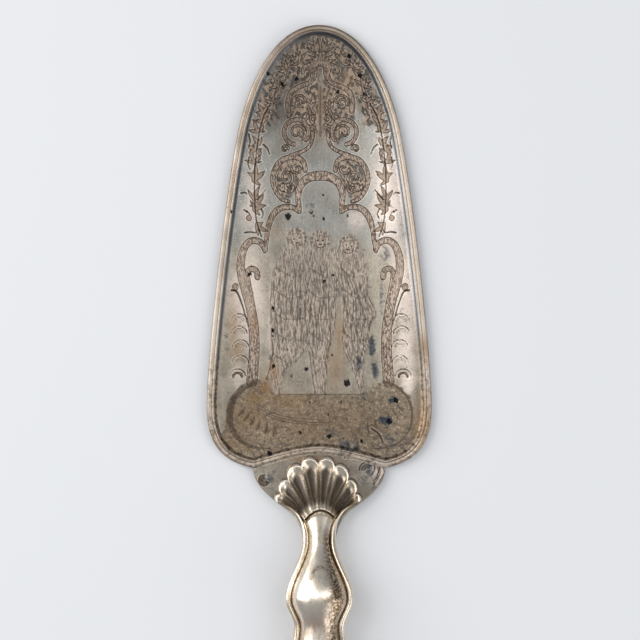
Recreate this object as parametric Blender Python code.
"""A cake server: a dished silver blade with a pressed border, on a hollow handle stamped in two halves.

Metres, +Z up, blade tip towards +Y. The server lies on the flat underside of its blade and on the tail of
its handle. Places along it are distances from the blade's tip, and at() turns them into the part's frame.
"""

import math

import bmesh
import bpy
from mathutils import Vector
from mathutils.geometry import delaunay_2d_cdt, interpolate_bezier

MM = 0.001
CLEARANCE = 0.3 * MM  # between pieces that touch or are soldered together

# Blade
BLADE_LENGTH = 124 * MM  # tip to heel line
BLADE_WIDTH = 63 * MM
SHOULDER_WIDTH = 44.2 * MM  # across the blade where its round tip meets the long sides
SHOULDER_DROP = 27 * MM  # tip to shoulders
SHOULDER_LEAN = math.radians(14)  # of the outline there, from the server's axis
CORNER_RISE = 17 * MM  # heel line up to the blade's widest place
HEEL_WIDTH = 37 * MM  # across the tab where it leaves the blade
SHEET = 1.0 * MM
RIM_RISE = 1.9 * MM  # border above the field of the blade
FIELD_DISH = 1.1 * MM  # rise of the field from its flat middle to the foot of the border
BORDER = 1.9 * MM  # width of the raised border
BORDER_SLOPE = 1.0 * MM  # width of the bank from the border down to the field
DISH_WIDTH = 13 * MM  # width of the hollowed part of the field, inside that bank
ARCH_RISE = 4.0 * MM  # how far the border arches up over the shell

# Tab, the blade's own metal that goes on under the shell and into the handle
TAB_BEND_WIDTH = 17.4 * MM
TAB_BEND_DROP = 11.8 * MM  # heel line to the bend
TAB_NOTCH = 0.9 * MM  # depth of the scroll cut into the tab's right edge
TONGUE_DROP = 28 * MM  # heel line to the end of the tongue between the halves

# Handle: drops are from one turn of its outline to the next, starting at the heel line
NECK_DROP, NECK_WIDTH, NECK_DEPTH = 20.2 * MM, 9.3 * MM, 6.8 * MM
KNOP_DROP, KNOP_WIDTH, KNOP_DEPTH = 15.8 * MM, 19.0 * MM, 11.2 * MM
WAIST_DROP, WAIST_WIDTH, WAIST_DEPTH = 7.8 * MM, 14.0 * MM, 8.8 * MM
BELLY_DROP, BELLY_WIDTH, BELLY_DEPTH = 13 * MM, 17.4 * MM, 10.0 * MM
GRIP_DROP, GRIP_WIDTH, GRIP_DEPTH = 24 * MM, 14.8 * MM, 8.8 * MM
SWELL_DROP, SWELL_WIDTH, SWELL_DEPTH = 32 * MM, 23.6 * MM, 9.4 * MM
TAIL_DROP = 16 * MM
TAIL_FLAT = 0.2 * MM  # how much further the tail's round outline would run to a point
CREST_HEIGHT = 9.6 * MM  # of the handle's seam above the table, at the knop
WALL = 0.7 * MM
RIB = 1.7 * MM  # width of the rib along both edges of the handle
RIB_HEIGHT = 1.7 * MM  # of the rib's crest from the seam
GROOVE_HEIGHT = 1.3 * MM  # of the groove inside the rib, from the seam
EDGE_HEIGHT = 1.1 * MM  # of the handle's outer edge, from the seam
NARROWEST = 0.3 * MM  # half width of the panel where it runs out at the tail

# Shell on the front half, and the plain tongue on the back half
SHELL_CENTRE_DROP = 13.5 * MM  # heel line to the point that the flutes spread from
SHELL_RIDGES = [math.radians(angle) for angle in (0, 19, 36, 57, 80)]
SHELL_LOBES = (16.4 * MM, 14.8 * MM, 13.2 * MM, 12.6 * MM)  # reach, from the middle outwards
SHELL_NOTCH = 1.6 * MM  # of the outline between two lobes
SHELL_ROOT = 8.4 * MM  # reach of the last ridge, where the outline turns in to the neck
SHELL_EDGE = 1.3 * MM  # thickness at the lobes
FLUTE_DEPTH = 0.9 * MM
BACK_TONGUE_REACH = 12.5 * MM
BACK_TONGUE_WIDTH = 17 * MM
BACK_TONGUE_TURN = math.radians(144)  # how far round its half ellipse the tongue's outline goes
BACK_EDGE = 0.8 * MM

# Tang and filling, inside the handle
TANG_SIDE = 1.05 * MM  # from each side of the tang to the neck's hollow
TANG_FLOOR = 0.7 * MM  # from the tang's underside to the neck's hollow
TANG_START_DROP = 20.8 * MM  # heel line to the tang's upper end, under the tongue
TANG_LENGTH = 58 * MM
FILLING_MARGIN = 1.2 * MM  # from the tongue's end to the filling, and from its other end to the tail's wall

PANEL_STEPS = 12
SHELL_ROWS = 7
OUTLINE_STEPS = 14
TURN_STEPS = 6

# Places along the server, from the blade's tip
NECK = BLADE_LENGTH + NECK_DROP
KNOP = NECK + KNOP_DROP
WAIST = KNOP + WAIST_DROP
BELLY = WAIST + BELLY_DROP
GRIP = BELLY + GRIP_DROP
SWELL = GRIP + SWELL_DROP
LENGTH = SWELL + TAIL_DROP
TONGUE_END = BLADE_LENGTH + TONGUE_DROP
SHELL_CENTRE = BLADE_LENGTH + SHELL_CENTRE_DROP
BORDER_LEVEL = SHEET / 2 + RIM_RISE  # middle of the sheet in the border, above the table

# What the neck's hollow leaves for the tang
TANG_WIDTH = NECK_WIDTH - 2 * (RIB + WALL + TANG_SIDE)
TANG_THICKNESS = NECK_DEPTH / 2 - WALL - SHEET / 2 - CLEARANCE - TANG_FLOOR


def at(across, along, height):
    """A point of the part: the origin is under the middle of the server's length."""
    return Vector((across, LENGTH / 2 - along, height))


def eased(share):
    share = max(0.0, min(1.0, share))
    return share * share * (3 - 2 * share)


def between(along, turns):
    """The value at a place, eased from one turn (place, value) to the next."""
    for (start, first), (end, second) in zip(turns, turns[1:]):
        if along <= end:
            return first + (second - first) * eased((along - start) / (end - start))
    return turns[-1][1]


def bezier(*corners, steps=OUTLINE_STEPS):
    """Points along a Bezier of 4 corners, in the plan (across, along), without its last point."""
    first, leaving, arriving, last = (Vector(corner) for corner in corners)
    return [point.to_2d() for point in interpolate_bezier(first, leaving, arriving, last, steps + 1)[:-1]]


def silver(name, colour, roughness, metallic=1.0):
    made = bpy.data.materials.new(name)
    made.use_nodes = True
    shader = made.node_tree.nodes["Principled BSDF"]
    shader.inputs["Base Color"].default_value = (*colour, 1)
    shader.inputs["Roughness"].default_value = roughness
    shader.inputs["Metallic"].default_value = metallic
    made.diffuse_color = (*colour, 1)
    return made


def finished(name, mesh, material):
    """An object of this bmesh, with its doubles merged and its faces pointing out."""
    bmesh.ops.remove_doubles(mesh, verts=mesh.verts, dist=0.001 * MM)
    bmesh.ops.recalc_face_normals(mesh, faces=mesh.faces)
    data = bpy.data.meshes.new(name)
    mesh.to_mesh(data)
    mesh.free()
    data.shade_smooth()
    data.set_sharp_from_angle(angle=math.radians(40))
    data.materials.append(material)
    made = bpy.data.objects.new(name, data)
    bpy.context.scene.collection.objects.link(made)
    return made


def solid_between(name, upper, lower, material):
    """A solid between two grids of points that have the same rows and columns."""
    mesh = bmesh.new()
    grids = [[[mesh.verts.new(point) for point in row] for row in grid] for grid in (upper, lower)]
    top, bottom = grids
    rows, columns = len(top), len(top[0])
    for row in range(rows - 1):
        for column in range(columns - 1):
            for grid in grids:
                corners = ((row, column), (row, column + 1), (row + 1, column + 1), (row + 1, column))
                mesh.faces.new([grid[r][c] for r, c in corners])
    edge = [(0, column) for column in range(columns)]
    edge += [(row, columns - 1) for row in range(1, rows)]
    edge += [(rows - 1, column) for column in reversed(range(columns - 1))]
    edge += [(row, 0) for row in reversed(range(1, rows - 1))]
    for (r, c), (next_r, next_c) in zip(edge, edge[1:] + edge[:1]):
        mesh.faces.new((top[r][c], top[next_r][next_c], bottom[next_r][next_c], bottom[r][c]))
    return finished(name, mesh, material)


# Shape of the handle


def spine(along):
    """Height of the seam: level over the blade, up to the knop, and down to where the tail rests."""
    turns = ((BLADE_LENGTH, BORDER_LEVEL), (KNOP, CREST_HEIGHT), (SWELL, SWELL_DEPTH / 2))
    return between(max(along, BLADE_LENGTH), turns)


def tail_share(along, length):
    """How round the tail is at this place: 1 at the swell and 0 at its end."""
    share = max(0.0, along - SWELL) / length
    return math.sqrt(max(0.0, 1 - share * share))


def half_width(along):
    widths = (NECK_WIDTH, KNOP_WIDTH, WAIST_WIDTH, BELLY_WIDTH, GRIP_WIDTH, SWELL_WIDTH)
    turns = tuple(zip((NECK, KNOP, WAIST, BELLY, GRIP, SWELL), (width / 2 for width in widths)))
    return between(along, turns) * tail_share(along, TAIL_DROP + TAIL_FLAT)


def half_depth(along):
    depths = (NECK_DEPTH, KNOP_DEPTH, WAIST_DEPTH, BELLY_DEPTH, GRIP_DEPTH, SWELL_DEPTH)
    turns = tuple(zip((NECK, KNOP, WAIST, BELLY, GRIP, SWELL), (depth / 2 for depth in depths)))
    return between(along, turns)


def panel_width(along):
    """Half width of the bulging panel between the two ribs."""
    if along <= SWELL:
        return half_width(along) - RIB
    return max(NARROWEST, (SWELL_WIDTH / 2 - RIB) * tail_share(along, TAIL_DROP - RIB))


def rib_height(share):
    """Height of the rib from the seam, from the groove at share 0 to the outer edge at 1."""
    if share < 0.5:
        return GROOVE_HEIGHT + (RIB_HEIGHT - GROOVE_HEIGHT) * eased(2 * share)
    return RIB_HEIGHT + (EDGE_HEIGHT - RIB_HEIGHT) * eased(2 * share - 1)


def seam_offset(along):
    """From the spine to a half's face: the blade's tongue lies between the halves above its end."""
    return SHEET / 2 + CLEARANCE if along <= TONGUE_END else CLEARANCE / 2


def turns_across():
    """The panel's columns, as angles round its bulge."""
    return [math.pi * (step / PANEL_STEPS - 0.5) for step in range(PANEL_STEPS + 1)]


def outer_section(along):
    """(across, height from the seam) of a half's outer face, from its left edge to its right edge."""
    edge, panel = half_width(along), panel_width(along)
    depth = GROOVE_HEIGHT + (half_depth(along) - GROOVE_HEIGHT) * tail_share(along, TAIL_DROP - RIB)
    past_panel = rib_height(max(0.0, along - (LENGTH - RIB)) / RIB)
    rib = [(edge, EDGE_HEIGHT), ((panel + edge) / 2, RIB_HEIGHT)]
    crown = depth - GROOVE_HEIGHT
    bulge = [(panel * math.sin(turn), past_panel + crown * math.cos(turn)) for turn in turns_across()]
    return [(-across, height) for across, height in rib] + bulge + rib[::-1]


def inner_section(along):
    """(across, height from the seam) of a half's inner face, hollow behind the panel."""
    edge, panel = half_width(along), panel_width(along)
    hollow = max(panel - WALL, NARROWEST / 2)
    depth = half_depth(along) * tail_share(along, TAIL_DROP - RIB) - WALL
    face = seam_offset(along)
    rib = [(edge, face), ((panel + edge) / 2, face)]
    bulge = [(hollow * math.sin(turn), max(face, depth * math.cos(turn))) for turn in turns_across()]
    return [(-across, height) for across, height in rib] + bulge + rib[::-1]


def handle_rows():
    """The places of the sections below the neck, closer where the outline turns and at the tail."""
    rows = [NECK, TONGUE_END, TONGUE_END + CLEARANCE]
    for start, end in ((rows[-1], KNOP), (KNOP, WAIST), (WAIST, BELLY), (BELLY, GRIP), (GRIP, SWELL)):
        rows += [start + (end - start) * step / TURN_STEPS for step in range(1, TURN_STEPS + 1)]
    turns = [math.pi / 2 * step / TURN_STEPS for step in range(1, TURN_STEPS + 1)]
    rows += [SWELL + (TAIL_DROP - RIB) * math.sin(turn) for turn in turns]
    return rows + [LENGTH - RIB / 2, LENGTH]


# Shell and back tongue: columns run as streams from the neck to the outer edge


def stream(start, turn, end, share):
    """A point on the bend from start over turn to end, in the plan (across, along)."""
    return Vector(start) * (1 - share) ** 2 + Vector(turn) * 2 * share * (1 - share) + Vector(end) * share**2


def shell_edge():
    """Outer ends of the shell's columns: a notch at each ridge and the tip of a lobe between two."""
    reach = [SHELL_LOBES[0] - SHELL_NOTCH]
    angles = [SHELL_RIDGES[0]]
    for index, (lobe, following) in enumerate(zip(SHELL_LOBES, SHELL_LOBES[1:] + SHELL_LOBES[-1:])):
        angles += [(SHELL_RIDGES[index] + SHELL_RIDGES[index + 1]) / 2, SHELL_RIDGES[index + 1]]
        reach += [lobe, (lobe + following) / 2 - SHELL_NOTCH]
    reach[-1] = SHELL_ROOT
    right = [(r * math.sin(angle), SHELL_CENTRE - r * math.cos(angle)) for r, angle in zip(reach, angles)]
    return [(-across, along) for across, along in right[:0:-1]] + right


def tongue_edge(columns):
    """Outer ends of the back tongue's columns, on part of a half ellipse."""
    angles = [BACK_TONGUE_TURN * (column / (columns - 1) - 0.5) for column in range(columns)]
    return [
        (BACK_TONGUE_WIDTH / 2 * math.sin(angle), SHELL_CENTRE - BACK_TONGUE_REACH * math.cos(angle))
        for angle in angles
    ]


def spread_rows(side, edge, edge_height, flute):
    """Upper and lower rows from the edge of the shell or tongue down to the neck, without the neck's own row."""
    outer_neck = outer_section(NECK)
    upper, lower = [], []
    for row in range(SHELL_ROWS, 0, -1):
        share = row / SHELL_ROWS
        outer_row, inner_row = [], []
        for column, (neck_across, neck_height) in enumerate(outer_neck):
            plan = stream((neck_across, NECK), (neck_across, SHELL_CENTRE), edge[column], share)
            face = seam_offset(plan.y)
            ridge = flute / 2 * (-1 if column % 2 else 1) * math.sin(math.pi * share**0.7)
            height = neck_height * (1 - share) + (face + edge_height) * share + ridge
            height = max(height, face + edge_height * 0.7)
            rim = row == SHELL_ROWS or column in (0, 1, len(outer_neck) - 2, len(outer_neck) - 1)
            hollow = face if rim else max(face, height - WALL)
            outer_row.append(at(plan.x, plan.y, spine(plan.y) + side * height))
            inner_row.append(at(plan.x, plan.y, spine(plan.y) + side * hollow))
        upper.append(outer_row)
        lower.append(inner_row)
    return upper, lower


def handle_half(name, side, edge, edge_height, flute, material):
    upper, lower = spread_rows(side, edge, edge_height, flute)
    for along in handle_rows():
        upper.append([at(across, along, spine(along) + side * height) for across, height in outer_section(along)])
        lower.append([at(across, along, spine(along) + side * height) for across, height in inner_section(along)])
    return solid_between(name, upper, lower, material)


# Blade


def blade_side():
    """The blade's right outline in the plan, from its tip to the heel line."""
    tip = Vector((0, 0))
    shoulder = Vector((SHOULDER_WIDTH / 2, SHOULDER_DROP))
    widest = Vector((BLADE_WIDTH / 2, BLADE_LENGTH - CORNER_RISE))
    heel = Vector((HEEL_WIDTH / 2, BLADE_LENGTH))
    lean = Vector((math.sin(SHOULDER_LEAN), math.cos(SHOULDER_LEAN)))
    side = widest.y - shoulder.y
    round_tip = bezier(tip, (SHOULDER_WIDTH * 0.26, 0), shoulder - lean * SHOULDER_DROP * 0.51, shoulder)
    long_side = bezier(shoulder, shoulder + lean * side * 0.19, widest - Vector((0, side * 0.18)), widest)
    fall = heel + Vector(((widest.x - heel.x) * 0.66, -CORNER_RISE * 0.1))
    corner = bezier(widest, widest + Vector((0, CORNER_RISE * 0.62)), fall, heel)
    return round_tip + long_side + corner


def tab_side(notch):
    """The tab's outline on one side, from the heel line to the end of the tongue."""
    heel = Vector((HEEL_WIDTH / 2, BLADE_LENGTH))
    bend = Vector((TAB_BEND_WIDTH / 2, BLADE_LENGTH + TAB_BEND_DROP))
    neck = Vector((NECK_WIDTH / 2, NECK))
    slope = bend - heel
    leaving, arriving = heel + Vector((0, slope.y * 0.4)), bend - Vector((slope.x * 0.5, slope.y * 0.28))
    upper = bezier(heel, leaving, arriving, bend, steps=8)
    for index, share in ((3, 0.6), (4, 1.0), (5, 0.5)):
        upper[index] = upper[index] - Vector((0.8, 0.6)) * notch * share
    turn = bend + Vector(((neck.x - bend.x) * 0.54, (neck.y - bend.y) * 0.23))
    lower = bezier(bend, turn, neck - Vector((0, (neck.y - bend.y) * 0.4)), neck, steps=5)
    return upper + lower + [neck, Vector((half_width(TONGUE_END), TONGUE_END))]


def mirrored(points):
    return [Vector((-point.x, point.y)) for point in points]


def field_loop():
    """The closed line from which the border is measured: the blade's outline, closed by an arch at the heel."""
    right = blade_side()
    heel = Vector((HEEL_WIDTH / 2, BLADE_LENGTH))
    crown = Vector((0, BLADE_LENGTH - ARCH_RISE))
    arch = bezier(heel, heel - Vector((HEEL_WIDTH / 6, 0)), crown + Vector((HEEL_WIDTH / 6, 0)), crown, steps=6)
    half = right + arch
    return half + [crown] + mirrored(half[:0:-1])


def inset(loop, distance):
    """The loop moved inwards: each point along the inward normal there."""
    moved = []
    for index, point in enumerate(loop):
        step = (loop[(index + 1) % len(loop)] - loop[index - 1]).normalized()
        moved.append(point + Vector((-step.y, step.x)) * distance)
    return moved


def depth_inside(point, loop):
    """Distance of a point from the loop."""
    shortest = None
    for start, end in zip(loop, loop[1:] + loop[:1]):
        line = end - start
        share = max(0.0, min(1.0, (point - start).dot(line) / line.length_squared))
        gap = (point - (start + line * share)).length
        shortest = gap if shortest is None else min(shortest, gap)
    return shortest


def border_profile(depth):
    """How far the sheet lies under the border's level, at a distance inside the blade's outline."""
    foot = BORDER + BORDER_SLOPE
    if depth <= BORDER:
        return 0.0
    if depth <= foot:
        return (RIM_RISE - FIELD_DISH) * eased((depth - BORDER) / BORDER_SLOPE)
    return RIM_RISE - FIELD_DISH * (1 - eased((depth - foot) / DISH_WIDTH))


def blade(material):
    """The pressed sheet: border, bank, dished field, and the tab that goes up into the handle."""
    loop = field_loop()
    sides = blade_side()
    right = sides + tab_side(TAB_NOTCH)
    outline = right + mirrored((sides + tab_side(0.0))[:0:-1])
    rings = [inset(loop, depth) for depth in (BORDER, BORDER + BORDER_SLOPE / 2, BORDER + BORDER_SLOPE)]
    rings += [inset(loop, BORDER + BORDER_SLOPE + DISH_WIDTH * share) for share in (0.3, 0.65, 1.0)]
    rings[-1] = rings[-1][::2]
    crown = BLADE_LENGTH - ARCH_RISE * 1.01
    arch = [point for point in loop if point.y > crown and abs(point.x) < HEEL_WIDTH / 2.01]
    plan, edges, level = [], [], []

    def add(points, depths, closed):
        first = len(plan)
        plan.extend(points)
        level.extend(depths)
        if closed:
            edges.extend((first + i, first + (i + 1) % len(points)) for i in range(len(points)))

    add(outline, [0.0] * len(outline), True)
    for ring in rings:
        add(ring, [depth_inside(point, loop) for point in ring], True)
    add(arch, [0.0] * len(arch), False)
    edges.extend((place, len(outline) - place) for place in range(len(sides) + 1, len(right)))
    found, _, faces, sources, _, _ = delaunay_2d_cdt(plan, edges, [], 1, 0.001 * MM)
    mesh = bmesh.new()
    for side in (1, -1):
        corners = []
        for point, source in zip(found, sources):
            depth = level[source[0]] if source else depth_inside(point, loop)
            middle = spine(point.y) - border_profile(depth)
            corners.append(mesh.verts.new(at(point.x, point.y, middle + side * SHEET / 2)))
        for face in faces:
            mesh.faces.new([corners[i] for i in face])
    mesh.verts.ensure_lookup_table()
    mesh.verts.index_update()
    count = len(found)
    for edge in [edge for edge in mesh.edges if edge.is_boundary and edge.verts[0].index < count]:
        first, second = (vert.index for vert in edge.verts)
        mesh.faces.new([mesh.verts[i] for i in (first, second, second + count, first + count)])
    return finished("blade", mesh, material)


# Inside the handle


def tang_bar(name, margin, material):
    """The tang under the tongue and down the handle; with a margin, the slot that the filling keeps for it."""
    start = BLADE_LENGTH + TANG_START_DROP - margin
    end = BLADE_LENGTH + TANG_START_DROP + TANG_LENGTH + margin
    rows = 24
    across = TANG_WIDTH / 2 + margin
    upper, lower = [], []
    for row in range(rows + 1):
        along = start + (end - start) * row / rows
        top = spine(along) - SHEET / 2 - CLEARANCE
        upper.append([at(x, along, top + margin) for x in (-across, across)])
        lower.append([at(x, along, top - TANG_THICKNESS - margin) for x in (-across, across)])
    return solid_between(name, upper, lower, material)


def filling(material, slot):
    """The pitch that fills the hollow handle, set round the tang."""
    start = TONGUE_END + FILLING_MARGIN
    end = LENGTH - RIB - WALL - FILLING_MARGIN
    places = [start] + [place for place in handle_rows() if start + MM < place < end - MM] + [end]
    upper, lower = [], []
    for along in places:
        width = max(panel_width(along) - WALL - CLEARANCE, NARROWEST)
        depth = max(half_depth(along) * tail_share(along, TAIL_DROP - RIB) - WALL - CLEARANCE, NARROWEST)
        bulge = [(width * math.sin(turn), depth * math.cos(turn)) for turn in turns_across()[::2]]
        upper.append([at(x, along, spine(along) + z) for x, z in bulge])
        lower.append([at(x, along, spine(along) - z) for x, z in bulge])
    made = solid_between("handle_filling", upper, lower, material)
    cut = made.modifiers.new("tang slot", "BOOLEAN")
    cut.operation = "DIFFERENCE"
    cut.solver = "EXACT"
    cut.object = slot
    return made


def main():
    for old in list(bpy.data.objects):
        bpy.data.objects.remove(old)
    etched = silver("etched silver", (0.56, 0.51, 0.46), 0.42)
    stamped = silver("stamped silver", (0.74, 0.69, 0.62), 0.28)
    steel = silver("steel", (0.42, 0.42, 0.43), 0.45)
    pitch = silver("pitch", (0.07, 0.045, 0.03), 0.6, metallic=0.0)
    blade(etched)
    columns = len(turns_across()) + 4
    handle_half("handle_front", 1, shell_edge(), SHELL_EDGE, FLUTE_DEPTH, stamped)
    handle_half("handle_back", -1, tongue_edge(columns), BACK_EDGE, 0.0, stamped)
    tang_bar("tang", 0.0, steel)
    slot = tang_bar("tang_slot_cutter", CLEARANCE, steel)
    slot.hide_render = True
    slot.display_type = "WIRE"
    filling(pitch, slot)


main()
